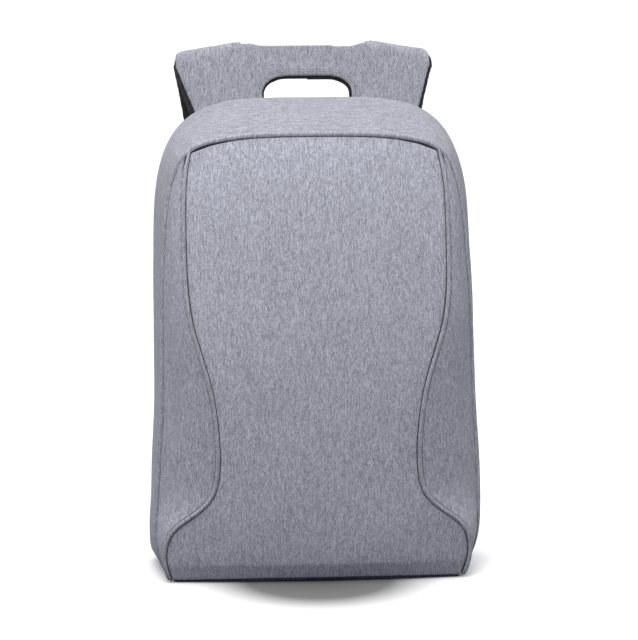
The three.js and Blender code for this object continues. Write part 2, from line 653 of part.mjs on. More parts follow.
function addHarness() {
  const straps = STRAPS.map(strapLines);
  add('harness', harnessLayer(straps, 0), 'heather');
  add('harness_lining', harnessLayer(straps, HARNESS_LAYER + GAP), 'black_mesh');
  STRAPS.forEach((strap, i) => addStrapEnd(strap, straps[i]));
}

function addSlider() {
  const n = backArch.findIndex((p) => p.z > SLIDER_HEIGHT);
  const place = backArch[n].clone().addScaledVector(backInwards[n], EDGE_TURN + GAP + ZIP_WIDTH / 2);
  const profile = [
    [0, 0], [SLIDER_WALL, 0], [SLIDER_WALL, SLIDER_LENGTH / 3 - PULL_LENGTH],
    [SLIDER_WALL + PULL_WALL, SLIDER_LENGTH / 3 - PULL_LENGTH], [SLIDER_WALL + PULL_WALL, SLIDER_LENGTH / 2],
    [SLIDER_WALL, SLIDER_LENGTH], [0, SLIDER_LENGTH],
  ];
  const slider = extrude(new THREE.Shape(profile.map(([y, z]) => new THREE.Vector2(y, z))), SLIDER_WIDTH);
  slider.applyMatrix4(new THREE.Matrix4().makeBasis(point(0, 1, 0), point(0, 0, 1), point(1, 0, 0)));
  add('zip_slider', slider.translate(place.x, GAP, place.z), 'slider');
}

addFront();
addPiping();
addGusset();
addBottom();
addBack();
addHarness();
addSlider();

// The origin is under the middle of the whole backpack, on the floor.
const box = new THREE.Box3().setFromObject(bag);
bag.position.set(-(box.min.x + box.max.x) / 2, -(box.min.y + box.max.y) / 2, -box.min.z);

export default bag;
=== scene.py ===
"""The looks of a slim anti-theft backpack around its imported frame, in metres, +Z up, its front at -Y."""

import math

import bmesh
import bpy
import numpy as np
from mathutils import Matrix, Vector, noise
from mathutils.bvhtree import BVHTree


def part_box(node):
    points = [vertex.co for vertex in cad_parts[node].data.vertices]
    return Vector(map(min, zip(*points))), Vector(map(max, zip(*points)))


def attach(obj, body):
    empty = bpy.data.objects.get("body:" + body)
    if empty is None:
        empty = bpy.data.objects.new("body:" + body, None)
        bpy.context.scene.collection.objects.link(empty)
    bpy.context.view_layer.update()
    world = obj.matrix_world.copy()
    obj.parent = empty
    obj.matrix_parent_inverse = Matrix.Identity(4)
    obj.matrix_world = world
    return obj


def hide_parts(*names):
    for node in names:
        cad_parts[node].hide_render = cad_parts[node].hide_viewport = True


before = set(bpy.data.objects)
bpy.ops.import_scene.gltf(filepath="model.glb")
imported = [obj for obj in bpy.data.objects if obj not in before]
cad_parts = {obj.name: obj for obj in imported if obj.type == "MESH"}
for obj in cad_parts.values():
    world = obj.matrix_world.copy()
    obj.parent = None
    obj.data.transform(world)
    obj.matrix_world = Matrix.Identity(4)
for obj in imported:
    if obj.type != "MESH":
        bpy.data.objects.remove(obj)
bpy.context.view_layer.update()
bpy.ops.object.select_all(action="DESELECT")

MM = 0.001

# The camera, in the photograph's place.
AIM = Vector((0.0059, 0.0, 0.2202))
CAMERA_DISTANCE = 2.6
CAMERA_ELEVATION = math.radians(8.16)
CAMERA_TURN = math.radians(-3.39)
CAMERA_ROLL = math.radians(-0.37)
PICTURE_SPAN = 0.5702  # what the picture's long side takes in at the camera's distance


# ---- shaping by hand ----


def pick(piece):
    """Makes one piece the only selected one, and the active one."""
    bpy.ops.object.select_all(action="DESELECT")
    piece.select_set(True)
    bpy.context.view_layer.objects.active = piece


class shaping:
    """Edit mode on one piece, all of it selected at the start."""

    def __init__(self, piece):
        self.piece = piece

    def __enter__(self):
        pick(self.piece)
        bpy.ops.object.mode_set(mode="EDIT")
        bpy.ops.mesh.select_all(action="SELECT")

    def __exit__(self, *error):
        bpy.ops.object.mode_set(mode="OBJECT")


def modify(piece, kind, **settings):
    """Adds a modifier and applies it."""
    modifier = piece.modifiers.new(kind.lower(), kind)
    for name, value in settings.items():
        setattr(modifier, name, value)
    pick(piece)
    bpy.ops.object.modifier_apply(modifier=modifier.name)


def smooth(piece, levels=0):
    """Subdivides a piece and shades it smooth."""
    if levels:
        modify(piece, "SUBSURF", levels=levels, render_levels=levels)
    pick(piece)
    bpy.ops.object.shade_smooth()


def merged(node, name=None):
    """A copy of a CAD node as a mesh of its own, with its triangles joined."""
    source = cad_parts[node]
    piece = bpy.data.objects.new(name or node + "_cloth", source.data.copy())
    piece.data.materials.clear()
    bpy.context.collection.objects.link(piece)
    with shaping(piece):
        bpy.ops.mesh.remove_doubles(threshold=0.01 * MM)
        bpy.ops.mesh.customdata_custom_splitnormals_clear()
        flat_enough = math.radians(60)
        bpy.ops.mesh.tris_convert_to_quads(face_threshold=flat_enough, shape_threshold=flat_enough)
    return piece


def points_of(piece):
    """The places of a piece's vertices, as rows of an array."""
    places = np.empty(3 * len(piece.data.vertices))
    piece.data.vertices.foreach_get("co", places)
    return places.reshape(-1, 3)


def move_points(piece, places):
    """Puts a piece's vertices at the rows of an array."""
    piece.data.vertices.foreach_set("co", np.asarray(places).ravel())
    piece.data.update()


def ripple(piece, height, span, direction, seed=0.0, keep=None):
    """Moves both faces of a wall together along a direction, softly up and down."""
    places = points_of(piece)
    offset = Vector((seed, 2 * seed, 3 * seed))
    waves = np.array([noise.noise(Vector(p) / span + offset) for p in places])
    if keep is not None:
        waves *= keep(places)
    move_points(piece, places + np.outer(waves * height, direction))


SHARP = math.radians(50)


def sharp_corners(piece):
    """For each vertex on a sharp corner of a wall, the way out of the wall's narrow rim."""
    shape = bmesh.new()
    shape.from_mesh(piece.data)
    sharp = {v for e in shape.edges if e.calc_face_angle(0) > SHARP for v in e.verts}
    outward = {}
    for face in shape.faces:
        if all(v in sharp for v in face.verts):
            for v in face.verts:
                outward[v.index] = outward.get(v.index, Vector()) + face.normal
    shape.free()
    return {index: way.normalized() for index, way in outward.items()}


def grow_rim(piece, distance, where):
    """Lets a panel's rim meet the piping beside it."""
    places = points_of(piece)
    for index, way in sharp_corners(piece).items():
        if where(places[index]):
            places[index] += distance * np.array(way)
    move_points(piece, places)


def cloth_panel(node, rim, levels=2, segments=2, grow=0.0, where=None):
    """A sewn panel: its corners are rolled in by the rim, and the rest is smooth."""
    piece = merged(node)
    if where:
        grow_rim(piece, grow, where)
    roll_rim(piece, rim, segments)
    smooth(piece, levels)
    return piece


def roll_rim(piece, rim, segments):
    """Rounds the sharp corners of a wall."""
    with shaping(piece):
        bpy.ops.mesh.select_all(action="DESELECT")
        bpy.ops.mesh.edges_select_sharp(sharpness=SHARP)
        bpy.ops.mesh.bevel(offset=rim, segments=segments, affect="EDGES")


def reach_corner(piece, side, steps, shrink):
    """Draws the top end of a piece on to the clamshell's corner, a step at a time, and narrows it."""
    top = max(points_of(piece)[:, 2])
    with shaping(piece):
        bpy.ops.mesh.select_all(action="DESELECT")
    for face in piece.data.polygons:
        face.select = face.normal.z > 0.7 and face.center.z > top - 6 * MM
    pick(piece)
    bpy.ops.object.mode_set(mode="EDIT")
    bpy.ops.mesh.select_mode(type="FACE")
    for step in steps:
        shift = (step[0] if side == "right" else -step[0], *step[1:])
        bpy.ops.mesh.extrude_region_move(TRANSFORM_OT_translate={"value": shift})
        bpy.ops.transform.resize(value=(shrink, shrink, shrink))
    bpy.ops.object.mode_set(mode="OBJECT")


def new_piece(name):
    """Names the primitive that was added last."""
    piece = bpy.context.active_object
    piece.name = name
    return piece


def settle(piece):
    """Puts a piece's place into its mesh, so that its object sits at the origin."""
    pick(piece)
    bpy.ops.object.transform_apply(location=True, rotation=True, scale=True)
    return piece


def repeated(name, unit, places):
    """One mesh of many copies of a small unit, each at its own matrix. The unit is used up."""
    corners = points_of(unit)
    faces = [list(p.vertices) for p in unit.data.polygons]
    vertices, polygons = [], []
    for place in places:
        turn = np.array(place.to_3x3())
        start = len(vertices)
        vertices.extend((corners @ turn.T + np.array(place.translation)).tolist())
        polygons.extend([start + i for i in face] for face in faces)
    mesh = bpy.data.meshes.new(name)
    mesh.from_pydata(vertices, [], polygons)
    bpy.data.objects.remove(unit)
    piece = bpy.data.objects.new(name, mesh)
    bpy.context.collection.objects.link(piece)
    smooth(piece)
    return piece


def lay_uv(piece, along):
    """A UV map in metres from a function of the points' places."""
    layer = piece.data.uv_layers.get("cloth") or piece.data.uv_layers.new(name="cloth")
    corners = np.empty(len(piece.data.loops), dtype=int)
    piece.data.loops.foreach_get("vertex_index", corners)
    across, length = along(points_of(piece))
    layer.data.foreach_set("uv", np.stack([across, length], axis=1)[corners].ravel())


def from_the_front(places):
    """A cloth's own directions where it faces forward: across, and up."""
    return places[:, 0], places[:, 2]


def soft_step(value):
    """From 0 to 1, level at both ends."""
    share = np.clip(value, 0, 1)
    return share * share * (3 - 2 * share)


# ---- materials ----


class Value:
    """One output of a material's nodes, with Python's own arithmetic."""

    def __init__(self, look, socket):
        self.look = look
        self.socket = socket

    def _math(self, operation, *values):
        sockets = dict(enumerate(values))
        return self.look.node("ShaderNodeMath", {"operation": operation}, sockets)

    def __add__(self, other):
        return self._math("ADD", self, other)

    def __sub__(self, other):
        return self._math("SUBTRACT", self, other)

    def __rsub__(self, other):
        return self._math("SUBTRACT", other, self)

    def __mul__(self, other):
        return self._math("MULTIPLY", self, other)

    __radd__ = __add__
    __rmul__ = __mul__

    def sine(self):
        return self._math("SINE", self)

    def part(self, axis):
        return self.look.node("ShaderNodeSeparateXYZ", {}, {0: self}, axis)

    def moved(self, *shift):
        return self.look.node("ShaderNodeVectorMath", {"operation": "ADD"}, {0: self, 1: shift})

    def stretched(self, *scale):
        return self.look.node("ShaderNodeVectorMath", {"operation": "MULTIPLY"}, {0: self, 1: scale})


class Look:
    """A material, whose nodes are all added by node()."""

    def __init__(self, name, colour, roughness, **constants):
        self.material = bpy.data.materials.new(name)
        self.material.use_nodes = True
        self.tree = self.material.node_tree
        self.skin = self.tree.nodes["Principled BSDF"]
        self.set("Base Color", (*colour, 1))
        self.set("Roughness", roughness)
        for key, value in constants.items():
            self.set(key.replace("_", " "), value)
        self.place = self.node("ShaderNodeTexCoord", {}, {}, "Object")
        self.uv = self.node("ShaderNodeTexCoord", {}, {}, "UV")

    def set(self, name, value, target=None):
        """Sets or links a socket of the shader, or of another node."""
        socket = (target or self.skin).inputs[name]
        if isinstance(value, Value):
            self.tree.links.new(value.socket, socket)
        else:
            socket.default_value = value

    def node(self, kind, settings, inputs, output=0):
        """Adds one node: its settings or a ramp's stops, then its sockets. Gives one of its outputs."""
        node = self.tree.nodes.new(kind)
        for name, value in settings.items():
            if name == "stops":
                ramp = node.color_ramp
                ramp.elements[0].position, ramp.elements[0].color = value[0][0], (*value[0][1], 1)
                ramp.elements[1].position, ramp.elements[1].color = value[-1][0], (*value[-1][1], 1)
                for position, colour in value[1:-1]:
                    ramp.elements.new(position).color = (*colour, 1)
            else:
                setattr(node, name, value)
        for name, value in inputs.items():
            self.set(name, value, node)
        return Value(self, node.outputs[output])

    def grain(self, place, scale, detail=2.0):
        """Noise from 0 to 1 around a half."""
        return self.node("ShaderNodeTexNoise", {}, {"Vector": place, "Scale": scale, "Detail": detail})

    def speck(self, place):
        """A chance value from 0 to 1 for each place."""
        return self.node("ShaderNodeTexWhiteNoise", {"noise_dimensions": "3D"}, {"Vector": place})

    def ramp(self, value, *stops):
        return self.node("ShaderNodeValToRGB", {"stops": stops}, {0: value})

    def bump(self, height, distance, strength=1.0):
        inputs = {"Height": height, "Distance": distance, "Strength": strength}
        self.set("Normal", self.node("ShaderNodeBump", {}, inputs))


def tinted(colour, factor):
    """A colour made lighter or darker."""
    return tuple(factor * c for c in colour)


# The melange's yarns: width and length of a dash, its share of the tone, and a seed.
YARNS = (
    (0.32 * MM, 2.6 * MM, 0.36, 1.0),
    (0.62 * MM, 7.0 * MM, 0.24, 5.0),
    (0.42 * MM, 0.9 * MM, 0.4, 9.0),
)
MELANGE = (0.335, 0.34, 0.4)
YARN_SLIP = 7  # how far columns of dashes slip past each other, in dashes


def heather(name, tone):
    """Melange cloth: short dashes of light and dark yarn, side by side, that run along V."""
    base = tinted(MELANGE, tone)
    look = Look(name, base, 0.92, Sheen_Weight=0.15, Sheen_Roughness=0.6)
    yarn = 0.0
    for width, length, share, seed in YARNS:
        cell = look.uv.stretched(1 / width, 1 / length, 0)
        column = look.node("ShaderNodeVectorMath", {"operation": "FLOOR"}, {0: cell.stretched(1, 0, 0)})
        slip = look.speck(column + seed)
        moved = look.node(
            "ShaderNodeCombineXYZ", {}, {0: cell.part(0), 1: cell.part(1) + slip * YARN_SLIP, 2: seed}
        )
        dash = look.node("ShaderNodeVectorMath", {"operation": "FLOOR"}, {0: moved})
        yarn = look.speck(dash) * share + yarn
    cloud = look.grain(look.place, 9, 3)
    fuzz = look.grain(look.place, 1500, 2)
    shade = (yarn - 0.5) * 1.5 + (fuzz - 0.5) * 0.7 + (cloud - 0.5) * 0.12 + 0.5
    dark, light = tinted(base, 0.5), tinted(base, 1.55)
    look.set("Base Color", look.ramp(shade, (0.0, dark), (0.5, base), (1.0, light)))
    look.bump(yarn + fuzz * 0.6, 0.2 * MM, 0.5)
    return look.material


def spacer_mesh(name):
    """Black air mesh: rows of small round holes in a soft knit, the holes painted darker as painted shade.
    """
    look = Look(name, (0.008, 0.008, 0.009), 0.9, Sheen_Weight=0.05)
    cells = look.node("ShaderNodeTexVoronoi", {}, {"Vector": look.place, "Scale": 420, "Randomness": 0.25})
    fuzz = look.grain(look.place, 900)
    # The holes' near-black is painted shade, darker than the knit.
    hole, knit = (0.002, 0.002, 0.002), (0.017, 0.017, 0.019)
    look.set("Base Color", look.ramp(cells + fuzz * 0.3 - 0.15, (0.25, hole), (0.55, knit)))
    look.bump(look.ramp(cells, (0.2, (0, 0, 0)), (0.6, (1, 1, 1))), 0.7 * MM)
    return look.material


RIB = 1.6 * MM
WEFT = 1.1 * MM


def ribbed_webbing(name):
    """Black webbing: a small check of ribs and weft, with painted shade in its grooves and a painted
    highlight on its crowns.
    """
    look = Look(name, (0.016, 0.016, 0.018), 0.75, Sheen_Weight=0.15)
    rib = (look.uv.part(0) * (2 * math.pi / RIB)).sine()
    cord = (look.uv.part(1) * (2 * math.pi / WEFT)).sine()
    fuzz = look.grain(look.place, 1500)
    # Grooves painted darker and crowns lighter: painted shade and painted highlight.
    shaded_groove, lit_crown = (0.006, 0.006, 0.007), (0.04, 0.04, 0.045)
    look.set("Base Color", look.ramp(rib * cord * 0.3 + fuzz, (0.2, shaded_groove), (0.9, lit_crown)))
    look.bump(rib * cord * 0.5 + fuzz * 0.4, 0.35 * MM)
    return look.material


def moulded(name, colour, roughness, metal=0.0):
    """Moulded plastic or cast metal with a fine satin texture."""
    look = Look(name, colour, roughness, Metallic=metal)
    marks = look.grain(look.place, 160, 5)
    look.set("Roughness", marks * 0.3 + (roughness - 0.15))
    look.bump(look.grain(look.place, 2500), 0.03 * MM)
    return look.material


def thread(name, colour):
    """Twisted sewing thread, or a near-black strip of it for painted shade in the seams."""
    look = Look(name, colour, 0.7, Sheen_Weight=0.2)
    twist = look.grain(look.place, 1800, 3)
    look.set("Base Color", look.ramp(twist, (0.3, tinted(colour, 0.6)), (0.7, tinted(colour, 1.3))))
    return look.material


FRONT_CLOTH = heather("front_heather", 0.93)
# The sides' copy of the grey cloth is darker than the front's: painted shade for the sides that turn away
# from the light.
SHADED_SIDE_CLOTH = heather("shaded_side_heather", 0.82)
BAND_CLOTH = heather("band_heather", 0.75)
HARNESS_CLOTH = heather("harness_heather", 0.8)
PIPING_CLOTH = heather("piping_cloth", 0.8)
BASE_CLOTH = heather("base_cloth", 0.6)
AIR_MESH = spacer_mesh("air_mesh")
WEBBING = ribbed_webbing("ribbed_webbing")
BUCKLE = moulded("buckle_nylon", (0.012, 0.012, 0.013), 0.42)
SLIDER = moulded("dark_metal", (0.16, 0.16, 0.17), 0.35, 1.0)
ZIP_COIL = moulded("zip_coil", (0.02, 0.02, 0.022), 0.5)
SEAM_THREAD = thread("seam_thread", (0.12, 0.12, 0.14))
# Near-black: painted shade under the piping and behind the clamshell's corners, and the dark backing behind
# the zip and the back's rim.
SEAM_SHADE_AND_BACKING = thread("seam_tape", (0.012, 0.012, 0.014))


def finish_piece(piece, look, slot, *nodes):
    """Gives a piece its material, hangs it from the root body, and hides the CAD nodes that it stands for.
    """
    piece.data.materials.clear()
    piece.data.materials.append(look)
    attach(piece, "root")
    if nodes:
        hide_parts(*nodes)


# ---- the bag's panels ----

BACK = (0, 1, 0)
SEAM_ROLL = 1.2 * MM
SEAM_FILL = 0.6 * MM  # how far a panel's rim grows towards the piping beside it
BAND_FILL = 0.8 * MM
FLOOR_EDGE = 6 * MM

# How the soft sides stand off the pattern: millimetres to the right at these heights, left and right.
LEAN_UP = (0.0, 0.02, 0.04, 0.067, 0.105, 0.15, 0.24, 0.285, 0.33)
LEAN_LEFT = (-3.3, -3.8, -2.0, 0.0, 0.8, 1.6, 0.9, 0.8, 0.0)
LEAN_RIGHT = (0.3, 1.2, 1.6, 2.2, 2.7, 2.3, 1.1, -0.3, 0.0)
HEM_LIFT = 1.2 * MM
HEM_WRAP = 2.2 * MM
HEM_HEIGHT = 30 * MM
HEM_HALF = 0.125  # half the width of the hem's arch
HEM_SMOOTHED = (6 * MM, 34 * MM)  # the heights where the foot of the front is evened out


def lean(piece):
    """The soft body's own sag: its sides a little off the pattern, and its front hem arched."""
    places = points_of(piece)
    x, y, z = places.T
    out = soft_step((np.abs(x) - 0.08) / 0.05)
    left, right = (np.interp(z, LEAN_UP, side) * MM for side in (LEAN_LEFT, LEAN_RIGHT))
    places[:, 0] += out * np.where(x < 0, left, right)
    ahead = soft_step((-0.05 - y) / 0.03)
    places[:, 1] += HEM_WRAP * ahead * np.clip(1 - z / HEM_HEIGHT, 0, 1) ** 2
    arch = np.clip(1 - (x / HEM_HALF) ** 2, 0, 1)
    places[:, 2] += HEM_LIFT * ahead * soft_step((0.03 - z) / 0.024) * arch
    move_points(piece, places)


def at_seam(place):
    """Whether a panel's corner lies in a seam, above the one it stands on."""
    return place[2] > FLOOR_EDGE


def soften_part(piece, chosen, times, name):
    """Smooths the chosen vertices of a piece."""
    group = piece.vertex_groups.new(name=name)
    group.add(np.nonzero(chosen)[0].tolist(), 1.0, "REPLACE")
    modify(piece, "SMOOTH", factor=0.5, iterations=times, vertex_group=name)


def front_shell():
    """The hourglass front, with its foot wrapped under."""
    piece = cloth_panel("front_panel", SEAM_ROLL, 2, grow=SEAM_FILL, where=at_seam)
    heights = points_of(piece)[:, 2]
    soften_part(piece, (heights > HEM_SMOOTHED[0]) & (heights < HEM_SMOOTHED[1]), 60, "hem")
    ripple(piece, 0.9 * MM, 60 * MM, BACK, 1.3)
    lay_uv(piece, from_the_front)
    lean(piece)
    finish_piece(piece, FRONT_CLOTH, "grey_fabric", "front_panel")
    return piece


WING_TIP = [(-2.2 * MM, 0.8 * MM, 8 * MM)]
CORD_TIP = [(-1.5 * MM, 2.0 * MM, 6 * MM), (-1.2 * MM, 1.5 * MM, 5 * MM), (-0.8 * MM, 1.0 * MM, 3 * MM)]
WING_TAPER = 0.35
CORD_TAPER = 0.82
WING_WAY = (0.79, 0.61)  # how a wing runs to the side and back


def round_the_side(places):
    """A wing's own directions: back round the side, and up."""
    aside, back = np.abs(places[:, 0]), places[:, 1]
    return WING_WAY[0] * aside + WING_WAY[1] * back, places[:, 2]


def wing(side):
    """The side of the clamshell front, outside the S seam."""
    node = "side_panel_" + side
    piece = merged(node)
    grow_rim(piece, SEAM_FILL, at_seam)
    reach_corner(piece, side, WING_TIP, WING_TAPER)
    roll_rim(piece, SEAM_ROLL, 2)
    smooth(piece, 2)
    ripple(piece, 0.8 * MM, 45 * MM, BACK, 4.1 if side == "left" else 7.7)
    lay_uv(piece, round_the_side)
    lean(piece)
    finish_piece(piece, SHADED_SIDE_CLOTH, "grey_fabric", node)
    return piece


# The dark strip under each piping cord is painted shade for the grooves beside it: how deep it sits, and
# how much wider it is.
SHADE_STRIP_DEPTH = 1.5 * MM
SHADE_STRIP_SWELL = 0.9 * MM
EDGE_SWELL = 0.55 * MM
CORD_SWELL = 0.25 * MM


def swollen(node, name, distance):
    """A copy of a CAD node that is thicker by a distance all round."""
    piece = merged(node, name)
    with shaping(piece):
        bpy.ops.transform.shrink_fatten(value=distance)
    return piece


def piping(node):
    """A cloth-covered cord in a seam, on a dark strip under it: painted shade for the grooves beside the
    cord.
    """
    at_edge = node == "edge_piping"
    for part, swell in (("_cord", EDGE_SWELL if at_edge else CORD_SWELL), ("_tape", SHADE_STRIP_SWELL)):
        piece = swollen(node, node + part, swell)
        if not at_edge:
            reach_corner(piece, node.rsplit("_", 1)[1], CORD_TIP, CORD_TAPER)
        smooth(piece, 2)
        lay_uv(piece, from_the_front)
        if part == "_tape":
            sink(piece, node)
        lean(piece)
        if part == "_tape":
            finish_piece(piece, SEAM_SHADE_AND_BACKING, "piping")
        else:
            finish_piece(piece, PIPING_CLOTH, "piping", node)


def sink(piece, node):
    """Sets the seam's dark strip of painted shade deeper than its cord: inwards, or back where the seam is
    on the front.
    """
    places = points_of(piece)
    if node == "edge_piping":
        inward = np.array((0, 0, 0.2)) - places
        inward[:, 1] = 0.2
        inward /= np.linalg.norm(inward, axis=1)[:, None]
    else:
        inward = np.array((-0.35 * math.copysign(1, places[0, 0]), 0.94, 0))
    move_points(piece, places + SHADE_STRIP_DEPTH * inward)


def corner_fill(side):
    """A dark ball behind the clamshell's top corner, where the seams end: painted shade at the corner."""
    cord = points_of(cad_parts["front_piping_" + side])
    tip = cord[cord[:, 2] > cord[:, 2].max() - 2 * MM].mean(axis=0)
    # The ball's near-black is painted shade.
    bpy.ops.mesh.primitive_uv_sphere_add(segments=16, ring_count=10, radius=5.5 * MM)
    piece = new_piece("corner_fill_" + side)
    piece.location = Vector(tip) + Vector((0, 8 * MM, 2 * MM))
    settle(piece)
    smooth(piece, 1)
    finish_piece(piece, SEAM_SHADE_AND_BACKING, "piping")


BAND_CORNER = Vector((0.085, 0, 0.36))  # the middle of the band's bend at the top right
BAND_ROUND = 0.06  # its radius


def along_band(places):
    """Across the band round the bag, and the distance along it."""
    x, y, z = places.T
    out, up = np.abs(x) - BAND_CORNER.x, z - BAND_CORNER.z
    corner = BAND_ROUND * np.arctan2(np.maximum(up, 0), np.maximum(out, 1e-9))
    reach = np.where(up <= 0, up, np.where(out <= 0, BAND_ROUND * math.pi / 2 - out, corner))
    return y, np.sign(x) * reach


def band():
    """The gusset round both sides and the top."""
    piece = cloth_panel("gusset", SEAM_ROLL, 2, grow=BAND_FILL, where=lambda place: place[1] < -0.03)
    ripple(piece, 0.5 * MM, 40 * MM, (0.7, 0, 0.7), 2.2)
    lay_uv(piece, along_band)
    lean(piece)
    finish_piece(piece, BAND_CLOTH, "grey_fabric", "gusset")
    return piece


def base():
    """The dark base that the bag stands on."""
    piece = cloth_panel("bottom_panel", 0.8 * MM, 2)
    lay_uv(piece, lambda p: (p[:, 0], p[:, 1]))
    lean(piece)
    finish_piece(piece, BASE_CLOTH, "base_fabric", "bottom_panel")
    return piece


# ---- the back ----


SPINE_HALF = 0.018  # half the width of the channel down the spine
CROSS_HEIGHTS = (0.135, 0.27)  # the heights of the channels across, which rise to the sides
CROSS_RISE = 0.25
CHANNEL_HALF = 4 * MM
CHANNEL_THICKNESS = 0.45  # what is left of the padding's thickness where it is sewn down
BACK_FRAMES = 20
BACK_SWELL = 4 * MM  # how far the padding can blow up
PRESSURE = 4.0


def padded_back():
    """The padded back: sewn down along its rim and channels, and blown up between them."""
    piece = merged("back_panel")
    low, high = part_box("back_panel")
    middle = (low[1] + high[1]) / 2
    modify(piece, "REMESH", mode="VOXEL", voxel_size=5 * MM)
    places = points_of(piece)
    aside, height = np.abs(places[:, 0]), places[:, 2]
    channels = [np.abs(aside - SPINE_HALF)]
    channels += [np.abs(height - start - CROSS_RISE * aside) for start in CROSS_HEIGHTS]
    sewn = np.min(channels, axis=0) < CHANNEL_HALF
    places[sewn, 1] = middle + (places[sewn, 1] - middle) * CHANNEL_THICKNESS
    move_points(piece, places)
    rim = (aside > 0.112) | (height < low[2] + 0.008) | (height > high[2] - 0.03)
    blow_up(piece, sewn | rim)
    smooth(piece, 1)
    finish_piece(piece, AIR_MESH, "black_mesh", "back_panel")
    return piece


def blow_up(piece, held):
    """Blows padding up by cloth simulation, apart from the vertices that are held."""
    places = points_of(piece)
    group = piece.vertex_groups.new(name="sewn")
    group.add(np.nonzero(held)[0].tolist(), 1.0, "REPLACE")
    cloth = piece.modifiers.new("cloth", "CLOTH")
    cloth.settings.use_pressure = True
    cloth.settings.uniform_pressure_force = PRESSURE
    cloth.settings.effector_weights.gravity = 0
    cloth.settings.vertex_group_mass = "sewn"
    cloth.collision_settings.use_collision = False
    cloth.point_cache.frame_start, cloth.point_cache.frame_end = 1, BACK_FRAMES
    for number in range(1, BACK_FRAMES + 1):
        bpy.context.scene.frame_set(number)
    pick(piece)
    bpy.ops.object.modifier_apply(modifier="cloth")
    moved = points_of(piece) - places
    length = np.linalg.norm(moved, axis=1)
    moved *= (np.minimum(length, BACK_SWELL) / np.maximum(length, 1e-9))[:, None]
    move_points(piece, places + moved)
    bpy.context.scene.frame_set(1)


ZIP_MIDDLE = 0.2  # the height that the zip is followed around
ZIP_REACH = math.pi - 0.62  # how far it is followed to each side of the top
ZIP_LOOKS = 90
ZIP_WINDOW = 0.06


def zip_line(pitch):
    """Points along the middle of the zip's tape, from its left end over the top to its right end."""
    places = points_of(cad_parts["main_zip"])
    places = places[places[:, 1] > places[:, 1].mean()]
    ring = places[np.argsort(np.arctan2(places[:, 0], ZIP_MIDDLE - places[:, 2]))]
    turns = np.arctan2(ring[:, 0], ring[:, 2] - ZIP_MIDDLE)
    line = []
    for turn in np.linspace(-ZIP_REACH, ZIP_REACH, ZIP_LOOKS):
        near = np.abs(turns - turn) < ZIP_WINDOW
        if near.sum() > 2:
            line.append(Vector(ring[near].mean(axis=0)))
    return even_steps(line, pitch)


def even_steps(line, pitch):
    """The same line in even steps."""
    lengths = [0.0]
    for a, b in zip(line, line[1:]):
        lengths.append(lengths[-1] + (b - a).length)
    count = round(lengths[-1] / pitch)
    points = []
    for n in range(count + 1):
        want = lengths[-1] * n / count
        i = min(max(k for k, reached in enumerate(lengths) if reached <= want + 1e-12), len(line) - 2)
        share = (want - lengths[i]) / (lengths[i + 1] - lengths[i])
        points.append(line[i].lerp(line[i + 1], share))
    return points


def zip_backing():
    """The dark tape behind the zip, which closes the bag between its band and its back."""
    piece = swollen("main_zip", "zip_backing", 1.3 * MM)
    move_points(piece, points_of(piece) - np.array((0, 2.2 * MM, 0)))
    smooth(piece, 1)
    lean(piece)
    finish_piece(piece, SEAM_SHADE_AND_BACKING, "webbing")


def back_backing():
    """The dark cloth behind the back's rim, which closes the gap beside it."""
    piece = merged("back_panel", "back_backing")
    places = points_of(piece)
    middle = places[:, 1].mean()
    places[:, 0] *= 1.055
    places[:, 1] = middle - 5 * MM + 0.15 * (places[:, 1] - middle)
    places[:, 2] = 2.6 * MM + 1.01 * (places[:, 2] - places[:, 2].min())
    move_points(piece, places)
    smooth(piece)
    finish_piece(piece, SEAM_SHADE_AND_BACKING, "black_mesh")


def zip_tape():
    """The zip's webbing tape."""
    piece = cloth_panel("main_zip", 0.5 * MM, 1, 1)
    lay_uv(piece, along_band)
    lean(piece)
    finish_piece(piece, WEBBING, "webbing", "main_zip")
    return piece


# ---- the harness ----


def layer_of_harness(node, look, slot, shape):
    """One layer of the yoke and straps, soft at its edges."""
    piece = merged(node)
    modify(piece, "REMESH", mode="VOXEL", voxel_size=1.6 * MM)
    modify(piece, "SMOOTH", factor=0.5, iterations=3)
    soften_crest(piece)
    move_points(piece, shape(points_of(piece)))
    ripple(piece, 0.9 * MM, 30 * MM, BACK, 5.5)
    lay_uv(piece, from_the_front)
    smooth(piece)
    finish_piece(piece, look, slot, node)
    return piece


CREST_FROM = 0.449
CREST_STEPS = (-0.069, 0.04)  # where the left and the right strap meet the handle
STEP_HALF = 0.017
FOLD_CORNER = 8 * MM
FOLD_DROP = 3.5 * MM


def soften_crest(piece):
    """Rounds the step from each strap to the handle, and the outer corners of the folds."""
    places = points_of(piece)
    top = places[:, 2] > CREST_FROM
    beside = np.min([np.abs(places[:, 0] - step) for step in CREST_STEPS], axis=0)
    soften_part(piece, top & (beside < STEP_HALF), 40, "step")
    places = points_of(piece)
    for side in (-1, 1):
        edge = (side * places[top, 0]).max()
        beyond = np.clip((side * places[:, 0] - edge + FOLD_CORNER) / FOLD_CORNER, 0, 1)
        places[:, 2] -= FOLD_DROP * beyond ** 3 * soft_step((places[:, 2] - 0.43) / 0.02)
    move_points(piece, places)


def outer_shape(places):
    """The cloth layer ends inside the lining's edge, more so low on the left."""
    wedge = np.interp(places[:, 2], (0.384, 0.46), (6.6, 1.4)) * MM
    shift_edges(places, wedge, -5.2 * MM)
    return places


def shift_edges(places, left, right):
    """Moves the yoke's two side edges, and what is near them, to the right."""
    x, z = places[:, 0], places[:, 2]
    near = soft_step((z - 0.33) / 0.05) * soft_step((np.abs(x) - 0.065) / 0.03)
    places[:, 0] += np.where(x < 0, left, right) * near


# The grip hole as seen from the front: its middle, half its width and height, and its corners' radii.
GRIP_MIDDLE = (-0.5 * MM, 418.1 * MM)
GRIP_HALF = (40 * MM, 16.6 * MM)
GRIP_CORNER = (21 * MM, 14.6 * MM)


